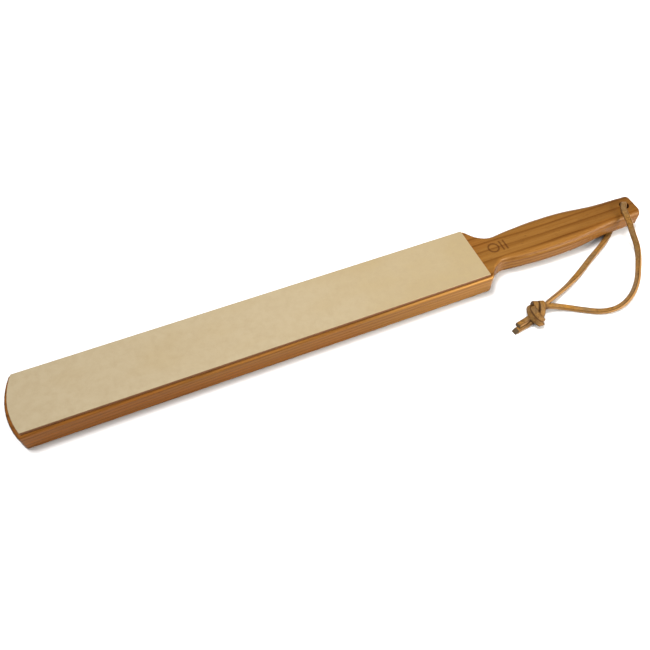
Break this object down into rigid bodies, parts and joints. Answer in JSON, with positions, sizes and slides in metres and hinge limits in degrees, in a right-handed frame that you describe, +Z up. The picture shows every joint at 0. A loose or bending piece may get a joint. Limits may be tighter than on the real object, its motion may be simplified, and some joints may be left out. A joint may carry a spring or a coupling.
{
  "type": "leather strop",
  "caption": "Long flat wooden paddle with a shaped handle, a leather strip glued along its upper face, and a knotted leather lace through a hole in the handle's end.",
  "frame": {"origin": "under the middle of the paddle, leaving the lace out, on the plane of its flat underside", "axes": "+X along the paddle from the blade's tip to the handle's end, +Y across it, +Z up out of the leather face"},
  "size_m": [0.502, 0.1036, 0.0215],
  "materials": {
    "oiled_wood": "straight-grained reddish-brown hardwood, sanded smooth and oiled to a soft sheen",
    "glue": "thin dried film of contact adhesive, amber, seen only as a line at the leather's edge",
    "strop_leather": "undyed vegetable-tanned leather, smooth pale face, darker cut edges",
    "lace_leather": "tan leather lace, waxy grain side, fibrous cut edges"
  },
  "bodies": {
    "paddle": {"paddle_board": "oiled_wood", "glue_film": "glue", "leather_face": "strop_leather"},
    "lanyard": {"lace_upper_strand": "lace_leather", "lace_lower_strand": "lace_leather", "lace_knot": "lace_leather", "lace_tail_upper": "lace_leather", "lace_tail_lower": "lace_leather"}
  },
  "joints": [
    {"name": "lanyard_swing", "type": "hinge", "parent": "paddle", "child": "lanyard", "pos_m": [0.2406, 0, 0.0107], "axis": [0, 0, 1], "range_deg": [-5, 180]}
  ]
}
